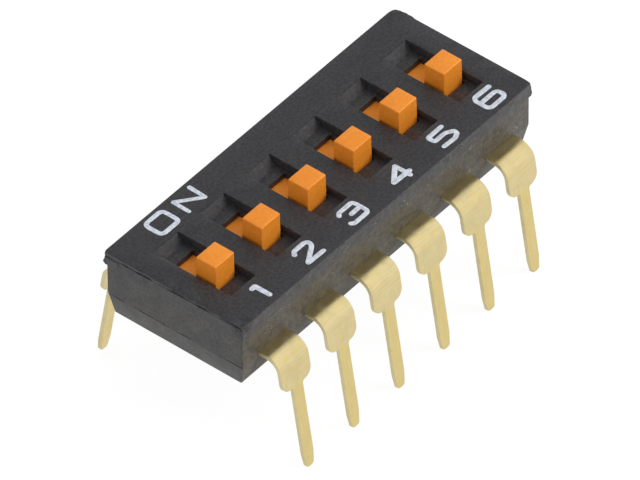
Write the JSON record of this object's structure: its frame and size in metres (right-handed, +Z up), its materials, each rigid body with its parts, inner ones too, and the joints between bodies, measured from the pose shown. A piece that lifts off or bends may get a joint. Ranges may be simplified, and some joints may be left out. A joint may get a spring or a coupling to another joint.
{
  "type": "dip switch",
  "caption": "Low rectangular dip switch with a row of sliding raised knobs in stepped windows and two rows of formed through-hole terminals.",
  "frame": {"origin": "centred between the two rows of terminals, at the height of the terminal tips", "axes": "+X along the row from switch 1 to switch 6, +Y across it from the number side to the ON side, +Z up out of the cover"},
  "size_m": [0.0162, 0.0096, 0.0077],
  "materials": {
    "cover_plastic": "moulded, fine satin grain",
    "base_plastic": "moulded, scuffed satin",
    "slider_plastic": "moulded, semi-gloss",
    "terminal_metal": "stamped and plated, satin",
    "contact_metal": "thin spring strip, plated"
  },
  "bodies": {
    "housing": {"cover": "cover_plastic", "base": "base_plastic", "terminal_number_1": "terminal_metal", "terminal_number_2": "terminal_metal", "terminal_number_3": "terminal_metal", "terminal_number_4": "terminal_metal", "terminal_number_5": "terminal_metal", "terminal_number_6": "terminal_metal", "terminal_on_1": "terminal_metal", "terminal_on_2": "terminal_metal", "terminal_on_3": "terminal_metal", "terminal_on_4": "terminal_metal", "terminal_on_5": "terminal_metal", "terminal_on_6": "terminal_metal"},
    "switch_1": {"slider_1": "slider_plastic", "contact_1": "contact_metal"},
    "switch_2": {"slider_2": "slider_plastic", "contact_2": "contact_metal"},
    "switch_3": {"slider_3": "slider_plastic", "contact_3": "contact_metal"},
    "switch_4": {"slider_4": "slider_plastic", "contact_4": "contact_metal"},
    "switch_5": {"slider_5": "slider_plastic", "contact_5": "contact_metal"},
    "switch_6": {"slider_6": "slider_plastic", "contact_6": "contact_metal"}
  },
  "joints": [
    {"name": "slide_1", "type": "slide", "parent": "housing", "child": "switch_1", "axis": [0, 1, 0], "range_m": [0, 0.00098]},
    {"name": "slide_2", "type": "slide", "parent": "housing", "child": "switch_2", "axis": [0, 1, 0], "range_m": [0, 0.00098]},
    {"name": "slide_3", "type": "slide", "parent": "housing", "child": "switch_3", "axis": [0, 1, 0], "range_m": [0, 0.00098]},
    {"name": "slide_4", "type": "slide", "parent": "housing", "child": "switch_4", "axis": [0, 1, 0], "range_m": [0, 0.00098]},
    {"name": "slide_5", "type": "slide", "parent": "housing", "child": "switch_5", "axis": [0, 1, 0], "range_m": [0, 0.00098]},
    {"name": "slide_6", "type": "slide", "parent": "housing", "child": "switch_6", "axis": [0, 1, 0], "range_m": [0, 0.00098]}
  ]
}
